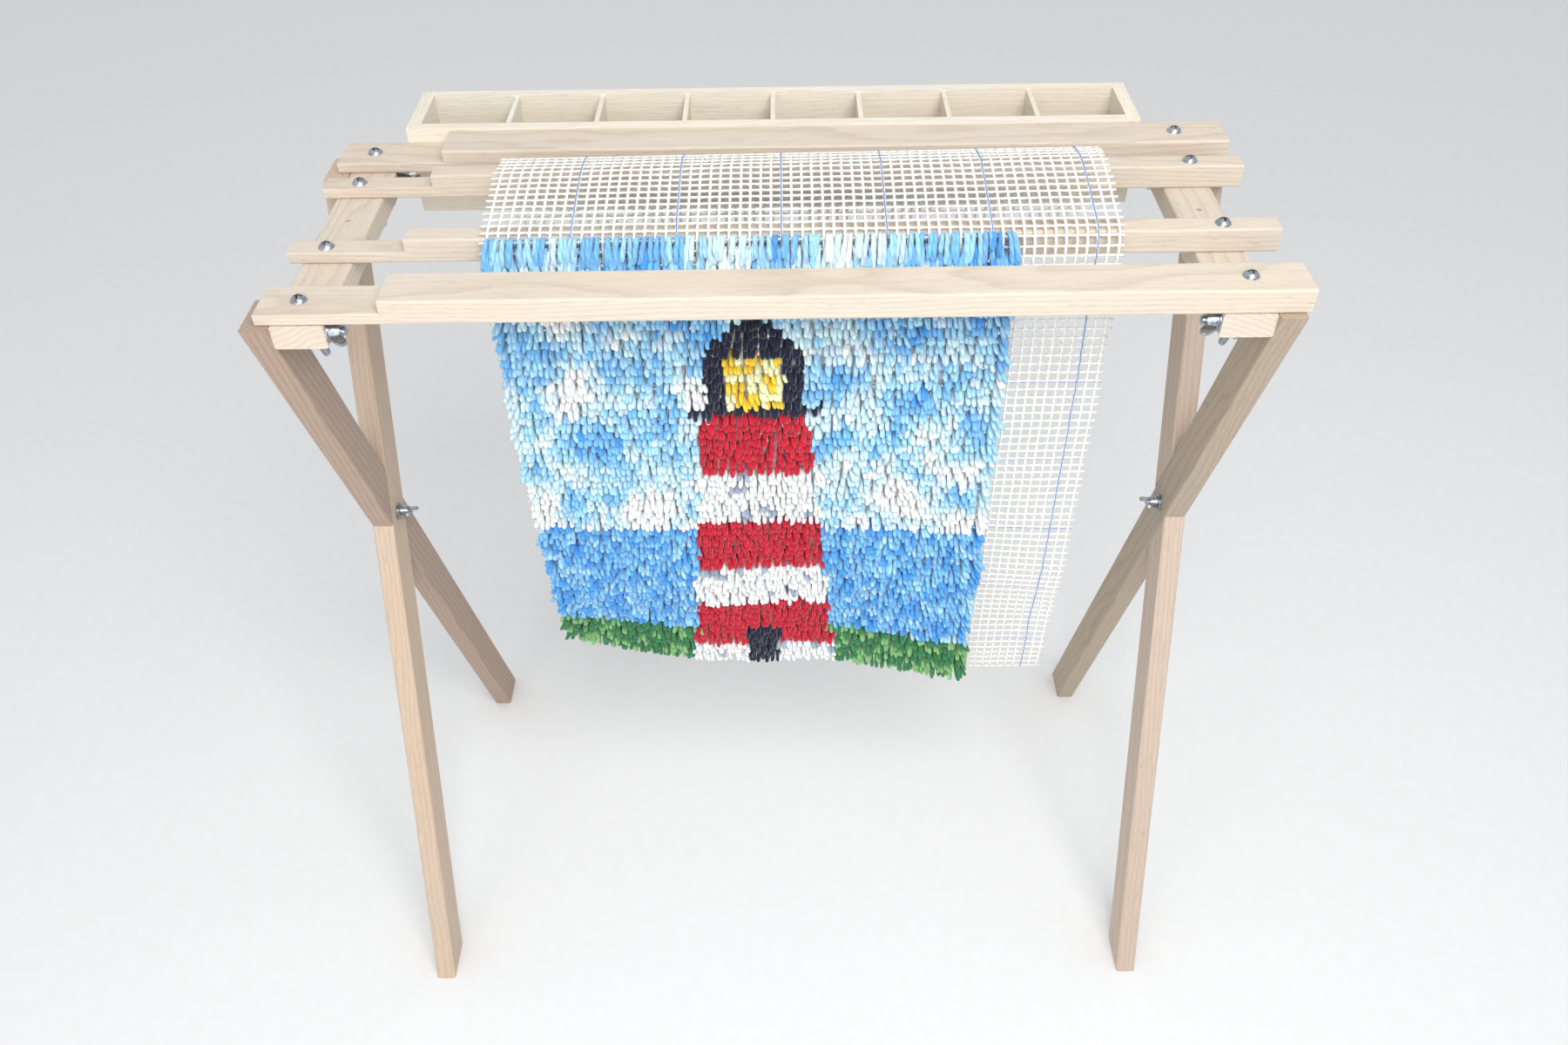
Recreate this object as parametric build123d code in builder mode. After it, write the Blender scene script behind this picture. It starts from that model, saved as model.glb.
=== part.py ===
from build123d import *
import math
import os

# A wooden floor stand for rug canvas. Four cross rails lie on two side rails, each side stands on a
# crossed pair of legs, a tray with eight compartments hangs behind the back rail, and a stiff rug
# canvas with a half-made pile is draped over the two middle rails.
# Millimetres. X runs left to right, Y from front to back, Z up. The origin is on the floor under the
# middle of the stand.

# Timber: everything but the tray is cut from one section
STOCK_THICK = 19.0
STOCK_WIDE = 38.0
EDGE_ROUND = 2.0

# Side frames
SIDE_TOP = 766.0  # the tops of the side rails and of the legs
LEG_OUTER_X = {"left": -369.5, "right": 369.5}
INWARD = {"left": 1, "right": -1}  # the way along X from a side towards the middle
SIDE_RAIL_LENGTH = 264.0
SIDE_RAIL_FRONT = -127.5
LEG_MID_Y = -3.4  # the plane where each pair of legs crosses
LEG_TOP_REACH = 110.0  # from that plane to the middle of a leg's top
LEG_FOOT_REACH = 186.5  # from that plane to the middle of a foot
SPARE_HOLE_Y = 20.0  # a small pilot hole between the middle rails, with nothing in it
SPARE_HOLE_RADIUS = 2.0

# Cross rails
RAIL_LEFT_END = -359.0
RAIL_RIGHT_END = 372.5
REBATE_LENGTH = 88.0  # the left end of each rail is cut down to a thin tongue
REBATE_DEPTH = 10.0
RAILS = {  # front face and depth
    "front_rail": (-127.5, STOCK_WIDE),
    "work_rail": (-45.0, STOCK_THICK),
    "canvas_rail": (55.0, STOCK_THICK),
    "back_rail": (98.5, STOCK_WIDE),
}

# Quarter-inch screws with wing nuts
SHANK_RADIUS = 3.175
SCREW_HOLE_RADIUS = 3.3
HEAD_RADIUS = 6.0
HEAD_HEIGHT = 4.4
RECESS_WIDTH = 1.5
RECESS_LENGTH = 6.4
RECESS_DEPTH = 2.4
WASHER_RADIUS = 8.0
WASHER_THICK = 1.4
NUT_GAP = 0.05  # running clearance of a nut on its screw and its washer
NUT_BASE_RADIUS = 6.3
NUT_TOP_RADIUS = 5.1
NUT_HEIGHT = 8.0
NUT_RIM_HEIGHT = 2.4  # the nut's straight rim, under its cone
WING_THICK = 2.6
WING_FOOT_Z = 1.2  # where the wing's lower edge leaves the nut
WING_ROOT = (4.5, 6.4)  # where its upper edge meets the nut: reach and height
WING_LOWER_EDGE = [(6.3, 1.2), (11.8, 5.2), (14.0, 10.5)]
WING_TIP = [(14.0, 10.5), (12.2, 13.6), (9.0, 13.2)]
WING_UPPER_EDGE = [(9.0, 13.2), (6.7, 10.0), WING_ROOT]
RAIL_SCREW_LENGTH = {"left": 38.1, "right": 50.8}
LEG_SCREW_LENGTH = 69.85
CROSSING_SCREW_LENGTH = 31.75
LEG_SCREW_END_GAP = 8.0  # from the front of the side rail to the first leg screw
RAIL_NUT_ANGLES = {  # how far each nut's wings are turned from the X axis
    ("front_rail", "left"): 24.0, ("work_rail", "left"): 78.0,
    ("canvas_rail", "left"): 131.0, ("back_rail", "left"): 50.0,
    ("front_rail", "right"): 152.0, ("work_rail", "right"): 35.0,
    ("canvas_rail", "right"): 96.0, ("back_rail", "right"): 12.0,
}
LEG_NUT_ANGLES = {  # from the level; these sit close under a rail, so their wings can't swing right round
    ("front", "left"): 12.0, ("back", "left"): -9.0,
    ("front", "right"): -12.0, ("back", "right"): 6.0,
}
CROSSING_NUT_ANGLES = {"left": 62.0, "right": 115.0}

# Tray
TRAY_LENGTH = 616.0
TRAY_MID_X = 0.0
TRAY_DEPTH = 74.0
TRAY_HEIGHT = 76.0
TRAY_TOP = 787.0
TRAY_WALL = 9.0
TRAY_END = 11.0
TRAY_FLOOR = 4.0
DIVIDER_THICK = 4.0
DIVIDER_DROP = 2.0  # the dividers stop this far under the tray's rim
COMPARTMENTS = 8
TRAY_SCREW_RADIUS = 2.1
TRAY_SCREW_LENGTH = 27.0
TRAY_SCREW_HEAD = 4.0
TRAY_SCREW_COMPARTMENTS = (0, 2, 5, 7)
BRAD_RADIUS = 0.7
BRAD_LENGTH = 26.0
BRAD_EDGE_GAP = 14.0  # from the tray's rim or underside
SNUG = 0.05  # clearance of a screw or brad in its hole

# Rug canvas and pile
CANVAS_CELL = 7.7
CANVAS_COLUMNS = 62
CANVAS_LEFT = -216.5
CANVAS_THICK = 1.6
PILE_COLUMNS = 50
PILE_LEFT_MARGIN = 1  # bare columns at the left of the pile
PILE_THICK = 13.0
PILE_GAP = 0.5  # between the canvas and the pile's slab
SHEET_BEND = 12.0  # the radius at each bend
CANVAS_LINE = [  # the middle of the canvas from the back hem, over two rails, to the front hem
    (82.5, 712.0), (81.5, 784.0), (66.0, 795.0), (38.0, 799.5), (8.0, 796.5), (-43.5, 788.2),
    (-52.0, 778.5), (-52.5, 740.0), (-60.0, 660.0), (-60.0, 600.0), (-51.5, 455.0), (-38.5, 385.0),
    (-37.5, 340.0), (-32.5, 303.0),
]
PILE_START = (-48.0, 783.1)  # where the pile begins on that line, at the front of the work rail

# Worked out from the above
RAIL_TOP = SIDE_TOP + STOCK_THICK
SIDE_RAIL_BOTTOM = SIDE_TOP - STOCK_THICK
SIDE_RAIL_BACK = SIDE_RAIL_FRONT + SIDE_RAIL_LENGTH
LEG_SCREW_Z = SIDE_TOP - STOCK_THICK / 2
LEG_LEAN = math.atan((LEG_TOP_REACH + LEG_FOOT_REACH) / SIDE_TOP)
LEG_HALF_Y = STOCK_WIDE / 2 / math.cos(LEG_LEAN)  # half the level cut across a leaning leg
CROSSING_Z = SIDE_TOP * LEG_FOOT_REACH / (LEG_TOP_REACH + LEG_FOOT_REACH)
LEG_SCREW_Y = {
    "front": SIDE_RAIL_FRONT + LEG_SCREW_END_GAP,
    "back": LEG_MID_Y + LEG_TOP_REACH - math.tan(LEG_LEAN) * (SIDE_TOP - LEG_SCREW_Z),
}
TRAY_FRONT_Y = SIDE_RAIL_BACK
TRAY_BOTTOM = TRAY_TOP - TRAY_HEIGHT
TRAY_LEFT = TRAY_MID_X - TRAY_LENGTH / 2
TRAY_RIGHT = TRAY_MID_X + TRAY_LENGTH / 2
TRAY_INNER_LENGTH = TRAY_LENGTH - 2 * TRAY_END
TRAY_INNER_DEPTH = TRAY_DEPTH - 2 * TRAY_WALL
TRAY_INNER_LEFT = TRAY_LEFT + TRAY_END
TRAY_INNER_FRONT_Y = TRAY_FRONT_Y + TRAY_WALL
COMPARTMENT_PITCH = (TRAY_INNER_LENGTH + DIVIDER_THICK) / COMPARTMENTS
COMPARTMENT_LENGTH = COMPARTMENT_PITCH - DIVIDER_THICK
TRAY_SCREW_SPOTS = [
    Location(
        (
            TRAY_INNER_LEFT + place * COMPARTMENT_PITCH + COMPARTMENT_LENGTH / 2,
            TRAY_INNER_FRONT_Y,
            SIDE_TOP + STOCK_THICK / 2,
        ),
        (-90, 0, 0),
    )
    for place in TRAY_SCREW_COMPARTMENTS
]
TRAY_SCREW_TIP = 2 * TRAY_SCREW_RADIUS  # the length of the screw's point
BRAD_SPOTS = {  # the brads in each long board, driven in along X with their heads flush
    board: [
        Location((x, y, z), turn)
        for x, turn in ((TRAY_LEFT, (0, -90, 0)), (TRAY_RIGHT, (0, 90, 0)))
        for z in (TRAY_BOTTOM + BRAD_EDGE_GAP, TRAY_TOP - BRAD_EDGE_GAP)
    ]
    for board, y in (
        ("tray_front_board", TRAY_FRONT_Y + TRAY_WALL / 2),
        ("tray_back_board", TRAY_FRONT_Y + TRAY_DEPTH - TRAY_WALL / 2),
    )
}
ALL_BRAD_SPOTS = BRAD_SPOTS["tray_front_board"] + BRAD_SPOTS["tray_back_board"]

os.makedirs("parts", exist_ok=True)


def keep(piece, name):
    """Label a finished piece and write it."""
    piece.part.label = name
    export_step(piece.part, f"parts/{name}.step")


def side_rail_mid_x(side):
    return LEG_OUTER_X[side] + INWARD[side] * (STOCK_THICK + STOCK_WIDE / 2)


def rail_mid_y(name):
    front, depth = RAILS[name]
    return front + depth / 2


# Side rails

def make_side_rail(side):
    mid_x = side_rail_mid_x(side)
    with BuildPart() as side_rail:
        with BuildSketch(Plane.XZ.offset(-SIDE_RAIL_FRONT)):
            with Locations((mid_x, SIDE_TOP - STOCK_THICK / 2)):
                Rectangle(STOCK_WIDE, STOCK_THICK)
        extrude(amount=-SIDE_RAIL_LENGTH)
        fillet(side_rail.edges().filter_by(Axis.Y), EDGE_ROUND)
        with Locations(*[(mid_x, rail_mid_y(name), SIDE_TOP) for name in RAILS]):
            Hole(SCREW_HOLE_RADIUS)
        with Locations((mid_x, SPARE_HOLE_Y, SIDE_TOP)):
            Hole(SPARE_HOLE_RADIUS)
        for y in LEG_SCREW_Y.values():
            with Locations(Location((mid_x, y, LEG_SCREW_Z), (0, 90, 0))):
                Hole(SCREW_HOLE_RADIUS, depth=STOCK_WIDE)
    keep(side_rail, f"{side}_side_rail")


# Cross rails, each with a thin tongue at its left end

def make_cross_rail(name):
    front, depth = RAILS[name]
    mid_y = rail_mid_y(name)
    length = RAIL_RIGHT_END - RAIL_LEFT_END
    with BuildPart() as rail:
        with BuildSketch(Plane.YZ.offset(RAIL_LEFT_END)):
            with Locations((mid_y, SIDE_TOP + STOCK_THICK / 2)):
                RectangleRounded(depth, STOCK_THICK, EDGE_ROUND)
        extrude(amount=length)
        with BuildSketch(Plane.XY.offset(RAIL_TOP)):
            with Locations((RAIL_LEFT_END, mid_y)):
                Rectangle(REBATE_LENGTH, depth, align=(Align.MIN, Align.CENTER))
        extrude(amount=-REBATE_DEPTH, mode=Mode.SUBTRACT)
        tongue_top = rail.faces().filter_by(Plane.XY).sort_by(Axis.Z)[-2]
        fillet(tongue_top.edges().filter_by(Axis.X), EDGE_ROUND / 2)
        with Locations(*[(side_rail_mid_x(side), mid_y, RAIL_TOP) for side in INWARD]):
            Hole(SCREW_HOLE_RADIUS)
        if name == "back_rail":
            with Locations(*TRAY_SCREW_SPOTS):
                Hole(TRAY_SCREW_RADIUS + SNUG, depth=TRAY_SCREW_LENGTH)
    keep(rail, name)


# Legs: each pair crosses in a flush halved joint, so that each leg keeps half its thickness there

def leg_corners(top_end):
    """The outline of a leg in the YZ plane; its top is at the front or at the back."""
    lean = -1 if top_end == "front" else 1
    top_y = LEG_MID_Y + lean * LEG_TOP_REACH
    foot_y = LEG_MID_Y - lean * LEG_FOOT_REACH
    return [
        (foot_y - LEG_HALF_Y, 0.0),
        (foot_y + LEG_HALF_Y, 0.0),
        (top_y + LEG_HALF_Y, SIDE_TOP),
        (top_y - LEG_HALF_Y, SIDE_TOP),
    ]


def make_leg(side, top_end, keeps_inner_half):
    other_end = "back" if top_end == "front" else "front"
    outer_x = LEG_OUTER_X[side]
    inward = INWARD[side]
    middle_x = outer_x + inward * STOCK_THICK / 2
    notch_x = outer_x if keeps_inner_half else middle_x
    with BuildPart() as leg:
        with BuildSketch(Plane.YZ.offset(outer_x)):
            with BuildLine():
                Polyline(*leg_corners(top_end), close=True)
            make_face()
        extrude(amount=inward * STOCK_THICK)
        long_edges = [edge for edge in leg.edges() if edge.length > SIDE_TOP]
        fillet(long_edges, EDGE_ROUND)
        with BuildSketch(Plane.YZ.offset(notch_x)):
            with BuildLine():
                Polyline(*leg_corners(other_end), close=True)
            make_face()
        extrude(amount=inward * STOCK_THICK / 2, mode=Mode.SUBTRACT)
        for y, z in ((LEG_SCREW_Y[top_end], LEG_SCREW_Z), (LEG_MID_Y, CROSSING_Z)):
            with Locations(Location((middle_x, y, z), (0, 90, 0))):
                Hole(SCREW_HOLE_RADIUS, depth=STOCK_THICK)
    foot = "rear" if top_end == "front" else "front"
    keep(leg, f"{side}_leg_{foot}_foot")


for side in INWARD:
    make_side_rail(side)
    make_leg(side, "front", keeps_inner_half=(side == "right"))
    make_leg(side, "back", keeps_inner_half=(side == "left"))
for name in RAILS:
    make_cross_rail(name)


# Screws, washers and wing nuts. Each is made once at the origin: a screw's head stands on Z = 0 and its
# shank points down, a washer lies on Z = 0, and a nut stands on Z = 0 with its wings up.

def make_screw(length):
    dome_radius = (HEAD_RADIUS**2 + HEAD_HEIGHT**2) / (2 * HEAD_HEIGHT)
    half_out = HEAD_RADIUS / 2
    dome_mid = (half_out, HEAD_HEIGHT - dome_radius + math.sqrt(dome_radius**2 - half_out**2))
    with BuildPart() as screw:
        with BuildSketch(Plane.XZ):
            with BuildLine():
                Line((0, 0), (HEAD_RADIUS, 0))
                ThreePointArc((HEAD_RADIUS, 0), dome_mid, (0, HEAD_HEIGHT))
                Line((0, HEAD_HEIGHT), (0, 0))
            make_face()
        revolve(axis=Axis.Z)
        with BuildSketch(Plane.XY.offset(HEAD_HEIGHT)):
            Rectangle(RECESS_LENGTH, RECESS_WIDTH)
            Rectangle(RECESS_WIDTH, RECESS_LENGTH)
        extrude(amount=-RECESS_DEPTH, mode=Mode.SUBTRACT)
        with BuildSketch(Plane.XY):
            Circle(SHANK_RADIUS)
        extrude(amount=-length)
        chamfer(screw.edges().filter_by(GeomType.CIRCLE).sort_by(Axis.Z)[0], SHANK_RADIUS / 4)
    return screw.part


with BuildPart() as washer:
    with BuildSketch():
        Circle(WASHER_RADIUS)
        Circle(SCREW_HOLE_RADIUS, mode=Mode.SUBTRACT)
    extrude(amount=WASHER_THICK)

with BuildPart() as wing_nut:
    with BuildSketch(Plane.XZ):
        with BuildLine():
            Polyline(
                (0, 0), (NUT_BASE_RADIUS, 0), (NUT_BASE_RADIUS, NUT_RIM_HEIGHT),
                (NUT_TOP_RADIUS, NUT_HEIGHT), (0, NUT_HEIGHT), close=True,
            )
        make_face()
    revolve(axis=Axis.Z)
    with BuildSketch(Plane.XZ.offset(-WING_THICK / 2)):
        with BuildLine():
            Line((0, WING_FOOT_Z), WING_LOWER_EDGE[0])
            Spline(*WING_LOWER_EDGE)
            Spline(*WING_TIP)
            Spline(*WING_UPPER_EDGE)
            Line(WING_ROOT, (0, WING_ROOT[1]))
            Line((0, WING_ROOT[1]), (0, WING_FOOT_Z))
        make_face()
        mirror(about=Plane.YZ)
    extrude(amount=WING_THICK)
    with Locations((0, 0, NUT_HEIGHT)):
        Hole(SHANK_RADIUS + NUT_GAP)

# The turns that stand each of these on its own face of the timber
HEAD_UP = (0, 0, 0)
NUT_DOWN = (180, 0, 0)
OUTWARD_TURN = {"left": (0, -90, 0), "right": (0, 90, 0)}
INWARD_TURN = {"left": (0, 90, 0), "right": (0, -90, 0)}


def place_copies(template, spots, name):
    """One node that holds a separate copy of the template at each spot."""
    with BuildPart() as group:
        with Locations(*spots):
            add(template)
    keep(group, name)


def place_nut(seat, turn, wing_angle, name):
    """A wing nut on its washer: the washer lies on the seat."""
    spot = Location(seat, turn) * Location((0, 0, WASHER_THICK + NUT_GAP), (0, 0, wing_angle))
    with BuildPart() as nut:
        with Locations(spot):
            add(wing_nut.part)
    keep(nut, name)


rail_washers = []
for side in INWARD:
    head_z = RAIL_TOP - (REBATE_DEPTH if side == "left" else 0.0)
    spots = [Location((side_rail_mid_x(side), rail_mid_y(name), head_z), HEAD_UP) for name in RAILS]
    place_copies(make_screw(RAIL_SCREW_LENGTH[side]), spots, f"{side}_rail_screws")
    for name in RAILS:
        seat = (side_rail_mid_x(side), rail_mid_y(name), SIDE_RAIL_BOTTOM)
        rail_washers.append(Location(seat, NUT_DOWN))
        place_nut(seat, NUT_DOWN, RAIL_NUT_ANGLES[name, side], f"{side}_{name}_wing_nut")
place_copies(washer.part, rail_washers, "rail_washers")

leg_screws = []
leg_washers = []
crossing_screws = []
crossing_washers = []
for side in INWARD:
    outer_x = LEG_OUTER_X[side]
    leg_inner_x = outer_x + INWARD[side] * STOCK_THICK
    side_rail_inner_x = leg_inner_x + INWARD[side] * STOCK_WIDE
    for end, y in LEG_SCREW_Y.items():
        leg_screws.append(Location((outer_x, y, LEG_SCREW_Z), OUTWARD_TURN[side]))
        seat = (side_rail_inner_x, y, LEG_SCREW_Z)
        leg_washers.append(Location(seat, INWARD_TURN[side]))
        place_nut(seat, INWARD_TURN[side], 90 + LEG_NUT_ANGLES[end, side], f"{side}_leg_{end}_wing_nut")
    crossing_screws.append(Location((outer_x, LEG_MID_Y, CROSSING_Z), OUTWARD_TURN[side]))
    seat = (leg_inner_x, LEG_MID_Y, CROSSING_Z)
    crossing_washers.append(Location(seat, INWARD_TURN[side]))
    place_nut(seat, INWARD_TURN[side], CROSSING_NUT_ANGLES[side], f"{side}_crossing_wing_nut")
place_copies(make_screw(LEG_SCREW_LENGTH), leg_screws, "leg_top_screws")
place_copies(washer.part, leg_washers, "leg_top_washers")
place_copies(make_screw(CROSSING_SCREW_LENGTH), crossing_screws, "crossing_screws")
place_copies(washer.part, crossing_washers, "crossing_washers")


# Tray: two end boards, a front and a back board between them, a floor and the dividers

def make_board(size, low_corner, name):
    """A plain board from its lowest corner, with the holes for the brads and screws that go through it."""
    brad_spots = ALL_BRAD_SPOTS if name in ("tray_left_end", "tray_right_end") else BRAD_SPOTS.get(name)
    with BuildPart() as board:
        with Locations(low_corner):
            Box(*size, align=(Align.MIN, Align.MIN, Align.MIN))
        if brad_spots:
            with Locations(*brad_spots):
                Hole(BRAD_RADIUS + SNUG, depth=BRAD_LENGTH)
        if name == "tray_front_board":
            with Locations(*TRAY_SCREW_SPOTS):
                CounterSinkHole(TRAY_SCREW_RADIUS + SNUG, TRAY_SCREW_HEAD + SNUG, depth=TRAY_WALL)
    keep(board, name)


end_size = (TRAY_END, TRAY_DEPTH, TRAY_HEIGHT)
make_board(end_size, (TRAY_LEFT, TRAY_FRONT_Y, TRAY_BOTTOM), "tray_left_end")
make_board(end_size, (TRAY_RIGHT - TRAY_END, TRAY_FRONT_Y, TRAY_BOTTOM), "tray_right_end")
long_size = (TRAY_INNER_LENGTH, TRAY_WALL, TRAY_HEIGHT)
tray_back_y = TRAY_INNER_FRONT_Y + TRAY_INNER_DEPTH
make_board(long_size, (TRAY_INNER_LEFT, TRAY_FRONT_Y, TRAY_BOTTOM), "tray_front_board")
make_board(long_size, (TRAY_INNER_LEFT, tray_back_y, TRAY_BOTTOM), "tray_back_board")
floor_size = (TRAY_INNER_LENGTH, TRAY_INNER_DEPTH, TRAY_FLOOR)
make_board(floor_size, (TRAY_INNER_LEFT, TRAY_INNER_FRONT_Y, TRAY_BOTTOM), "tray_floor")
divider_size = (DIVIDER_THICK, TRAY_INNER_DEPTH, TRAY_HEIGHT - TRAY_FLOOR - DIVIDER_DROP)
for number in range(1, COMPARTMENTS):
    divider_x = TRAY_INNER_LEFT + number * COMPARTMENT_PITCH - DIVIDER_THICK
    low_corner = (divider_x, TRAY_INNER_FRONT_Y, TRAY_BOTTOM + TRAY_FLOOR)
    make_board(divider_size, low_corner, f"tray_divider_{number}")

with BuildPart() as tray_screw:
    with BuildSketch(Plane.XZ):
        with BuildLine():
            Polyline(
                (0, 0), (TRAY_SCREW_HEAD, 0),
                (TRAY_SCREW_RADIUS, TRAY_SCREW_RADIUS - TRAY_SCREW_HEAD),
                (TRAY_SCREW_RADIUS, TRAY_SCREW_TIP - TRAY_SCREW_LENGTH),
                (0, -TRAY_SCREW_LENGTH), close=True,
            )
        make_face()
    revolve(axis=Axis.Z)
place_copies(tray_screw.part, TRAY_SCREW_SPOTS, "tray_screws")

with BuildPart() as brad:
    with BuildSketch(Plane.XY):
        Circle(BRAD_RADIUS)
    extrude(amount=-BRAD_LENGTH)
place_copies(brad.part, ALL_BRAD_SPOTS, "tray_brads")


# Rug canvas and pile: each is a sheet of one thickness, bent along its own line over the rails

def line_in_front(line, distance):
    """A line of (y, z) points that runs beside another, that far in front of it."""
    points = [Vector(*point) for point in line]
    ways = [(after - before).normalized() for before, after in zip(points, points[1:])]
    moved = []
    for point, way_in, way_out in zip(points, ways[:1] + ways, ways + ways[-1:]):
        mean_way = (way_in + way_out).normalized()
        sideways = Vector(mean_way.Y, -mean_way.X)
        moved.append(point + sideways * (distance / mean_way.dot(way_in)))
    return moved


def make_sheet(line, thickness, left_x, width, name):
    with BuildPart() as sheet:
        with BuildSketch(Plane.YZ.offset(left_x)):
            with BuildLine():
                FilletPolyline(*line, radius=SHEET_BEND)
            trace(line_width=thickness)
        extrude(amount=width)
    keep(sheet, name)


make_sheet(CANVAS_LINE, CANVAS_THICK, CANVAS_LEFT, CANVAS_COLUMNS * CANVAS_CELL, "rug_canvas")
under_pile = [PILE_START] + [point for point in CANVAS_LINE if point[1] < PILE_START[1] and point[0] < 0]
pile_line = line_in_front(under_pile, (CANVAS_THICK + PILE_THICK) / 2 + PILE_GAP)
pile_left = CANVAS_LEFT + PILE_LEFT_MARGIN * CANVAS_CELL
make_sheet(pile_line, PILE_THICK, pile_left, PILE_COLUMNS * CANVAS_CELL, "rug_pile")
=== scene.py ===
"""Looks of the rug canvas floor stand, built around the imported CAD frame. Metres, +Z up."""
import math

import bpy
import numpy as np
from mathutils import Matrix, Vector


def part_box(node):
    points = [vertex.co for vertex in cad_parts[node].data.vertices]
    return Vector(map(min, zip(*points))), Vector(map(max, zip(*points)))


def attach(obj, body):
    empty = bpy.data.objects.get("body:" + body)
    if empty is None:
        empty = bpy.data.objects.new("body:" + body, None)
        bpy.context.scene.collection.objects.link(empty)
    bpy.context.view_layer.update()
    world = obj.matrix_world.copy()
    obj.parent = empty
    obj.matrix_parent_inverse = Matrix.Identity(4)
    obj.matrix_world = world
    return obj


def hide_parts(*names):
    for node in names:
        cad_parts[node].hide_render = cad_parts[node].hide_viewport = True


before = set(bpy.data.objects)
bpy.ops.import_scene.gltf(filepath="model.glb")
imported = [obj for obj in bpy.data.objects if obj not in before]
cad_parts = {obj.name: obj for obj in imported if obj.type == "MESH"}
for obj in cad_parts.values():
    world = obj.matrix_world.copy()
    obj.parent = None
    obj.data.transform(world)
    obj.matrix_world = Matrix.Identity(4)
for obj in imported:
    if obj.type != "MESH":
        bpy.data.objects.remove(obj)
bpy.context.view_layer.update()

MM = 0.001
STAND = "stand"

# Rug canvas
CELL = 7.7 * MM
THREAD_HALF_WIDE = 1.2 * MM  # a warp strand where a weft crosses it
THREAD_HALF_NARROW = 1.08 * MM  # and half way between two wefts, where its two threads twist
THREAD_HALF_THICK = 0.9 * MM
WEFT_HALF_WIDE = 1.02 * MM
WEFT_HALF_THICK = 0.85 * MM
GUIDE_HALF_WIDE = 0.45 * MM
FIRST_GUIDE_COLUMN = 9
GUIDE_COLUMN_STEP = 10
FIRST_GUIDE_ROW = 32
GUIDE_ROW_STEP = 10
SURFACE_STEP = 1.0 * MM
SURFACE_SMOOTHING = 9  # steps, kept short so that the canvas stays clear of the work rail
RUN_ON = 60 * MM  # how far the surface is carried past both hems, for tufts that hang over them

THREAD_SIDES = 6
WARP_WANDER = 0.12 * MM
WEFT_WANDER = 0.16 * MM  # of a whole weft
WEFT_WOBBLE = 0.10 * MM  # from one warp to the next
GUIDE_WANDER = 0.13 * MM

# How the canvas hangs. Shares across run from 0 at its left edge to 1 at its right one.
OUTLINE_POINTS = 400
ARCH_REACH = 55 * MM  # half width of the rise over the two rails
ARCH_TILT = 5 * MM  # how much higher the rise is at the right edge than at the left one
ARCH_LEVEL_SHARE = 0.45  # where across it neither rises nor falls
WAVE_DEEP = 3.5 * MM
RIPPLE_DEEP = 1.5 * MM
CURL_SHARE = 0.34  # the lower left corner curls, over this share of the width
CURL_TALL = 130 * MM
CURL_BACK = 16 * MM
CURL_UP = 20 * MM
SLANT = 15 * MM  # how much lower and further forward it hangs at the lower right than at the lower left

# Rug pile
YARN_SIDES = 5
KNOT_HALF_GAP = 1.25 * MM  # from a knot's middle to each of its two ends
ENDS_APART = 0.9 * MM  # and how much further out each end's tip lies
CLUMP_LEAN = 1.4 * MM
END_LEAN = 1.7 * MM
LYING_LEAN = 2.5 * MM  # to the left, where the pile lies on the rail
LYING_CLUMP = 2.0 * MM
RIGHT_EDGE_SPLAY = 5.5 * MM
LEFT_EDGE_SPLAY = 4.0 * MM
SPLAY_COLUMNS = 0.9
CLUMP_DROOP = 0.10
END_DROOP = 0.18
END_RISE = 0.09
SEED = 20


def smoothstep(low, high, value):
    """0 below low, 1 above high, and a soft step between."""
    share = np.clip((value - low) / (high - low), 0.0, 1.0)
    return share * share * (3.0 - 2.0 * share)


def srgb(red, green, blue):
    """A colour of 0 to 255 as shown on a screen, as linear numbers."""
    parts = np.array((red, green, blue)) / 255.0
    return tuple(np.where(parts <= 0.04045, parts / 12.92, ((parts + 0.055) / 1.055) ** 2.4))


# ---------------------------------------------------------------- materials

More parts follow.
